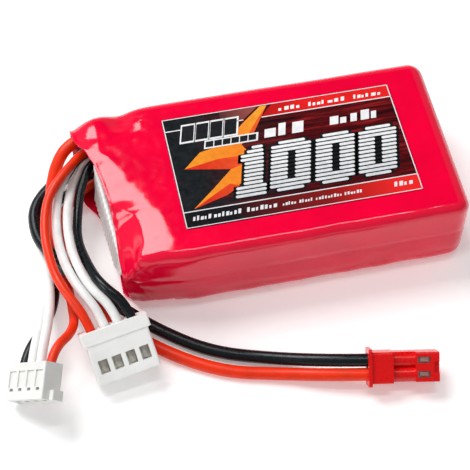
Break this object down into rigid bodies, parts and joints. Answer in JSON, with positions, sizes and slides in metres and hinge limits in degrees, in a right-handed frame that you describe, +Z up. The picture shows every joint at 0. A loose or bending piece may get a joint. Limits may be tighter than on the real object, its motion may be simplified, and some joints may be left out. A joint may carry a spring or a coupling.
{
  "type": "lithium polymer battery pack",
  "caption": "Soft rectangular battery pack in shrink film with a printed label; two short power leads and two flat bundles of sensing leads end in small plugs.",
  "frame": {"origin": "middle of the pack's underside, on the surface it lies on", "axes": "+X along the pack to its closed end, the leads leave at the -X end; +Y across the pack; +Z up, out of the labelled face"},
  "size_m": [0.0867, 0.0617, 0.0166],
  "materials": {
    "sleeve_film": "glossy red heat-shrink film",
    "label_film": "printed laminated label",
    "tape": "thin polyester tape",
    "fibre": "matt white fibre board",
    "board": "glass-fibre circuit board",
    "solder": "bright solder",
    "white_nylon": "moulded white nylon, slight sheen",
    "red_nylon": "moulded red nylon",
    "pouch_foil": "laminated aluminium foil",
    "aluminium_tab": "thin rolled strip",
    "nickel_tab": "thin rolled strip",
    "adhesive": "clear double-sided pad",
    "tinned_contact": "tinned spring strip",
    "wire_red": "soft silicone insulation, satin",
    "wire_black": "soft silicone insulation, satin",
    "wire_white": "soft silicone insulation, satin"
  },
  "bodies": {
    "root": {"heat_shrink_sleeve": "sleeve_film", "label": "label_film", "wrap_tape": "tape", "tab_insulator": "fibre", "junction_board": "board", "board_solder": "solder", "end_board": "fibre", "xh_housing": "white_nylon", "eh_housing": "white_nylon", "rcy_housing": "red_nylon", "cell_1": "pouch_foil", "cell_1_tab_positive": "aluminium_tab", "cell_1_tab_negative": "nickel_tab", "cell_2": "pouch_foil", "cell_2_tab_positive": "aluminium_tab", "cell_2_tab_negative": "nickel_tab", "cell_3": "pouch_foil", "cell_3_tab_positive": "aluminium_tab", "cell_3_tab_negative": "nickel_tab", "cell_adhesive_1": "adhesive", "cell_adhesive_2": "adhesive", "xh_terminal_1": "tinned_contact", "xh_terminal_2": "tinned_contact", "xh_terminal_3": "tinned_contact", "xh_terminal_4": "tinned_contact", "eh_terminal_1": "tinned_contact", "eh_terminal_2": "tinned_contact", "eh_terminal_3": "tinned_contact", "eh_terminal_4": "tinned_contact", "rcy_terminal_1": "tinned_contact", "rcy_terminal_2": "tinned_contact", "xh_wire_red": "wire_red", "xh_wire_white_1": "wire_white", "xh_wire_white_2": "wire_white", "xh_wire_black": "wire_black", "main_wire_red": "wire_red", "main_wire_black": "wire_black", "eh_wire_red": "wire_red", "eh_wire_black": "wire_black", "eh_wire_white_2": "wire_white", "eh_wire_white_1": "wire_white"}
  },
  "joints": []
}
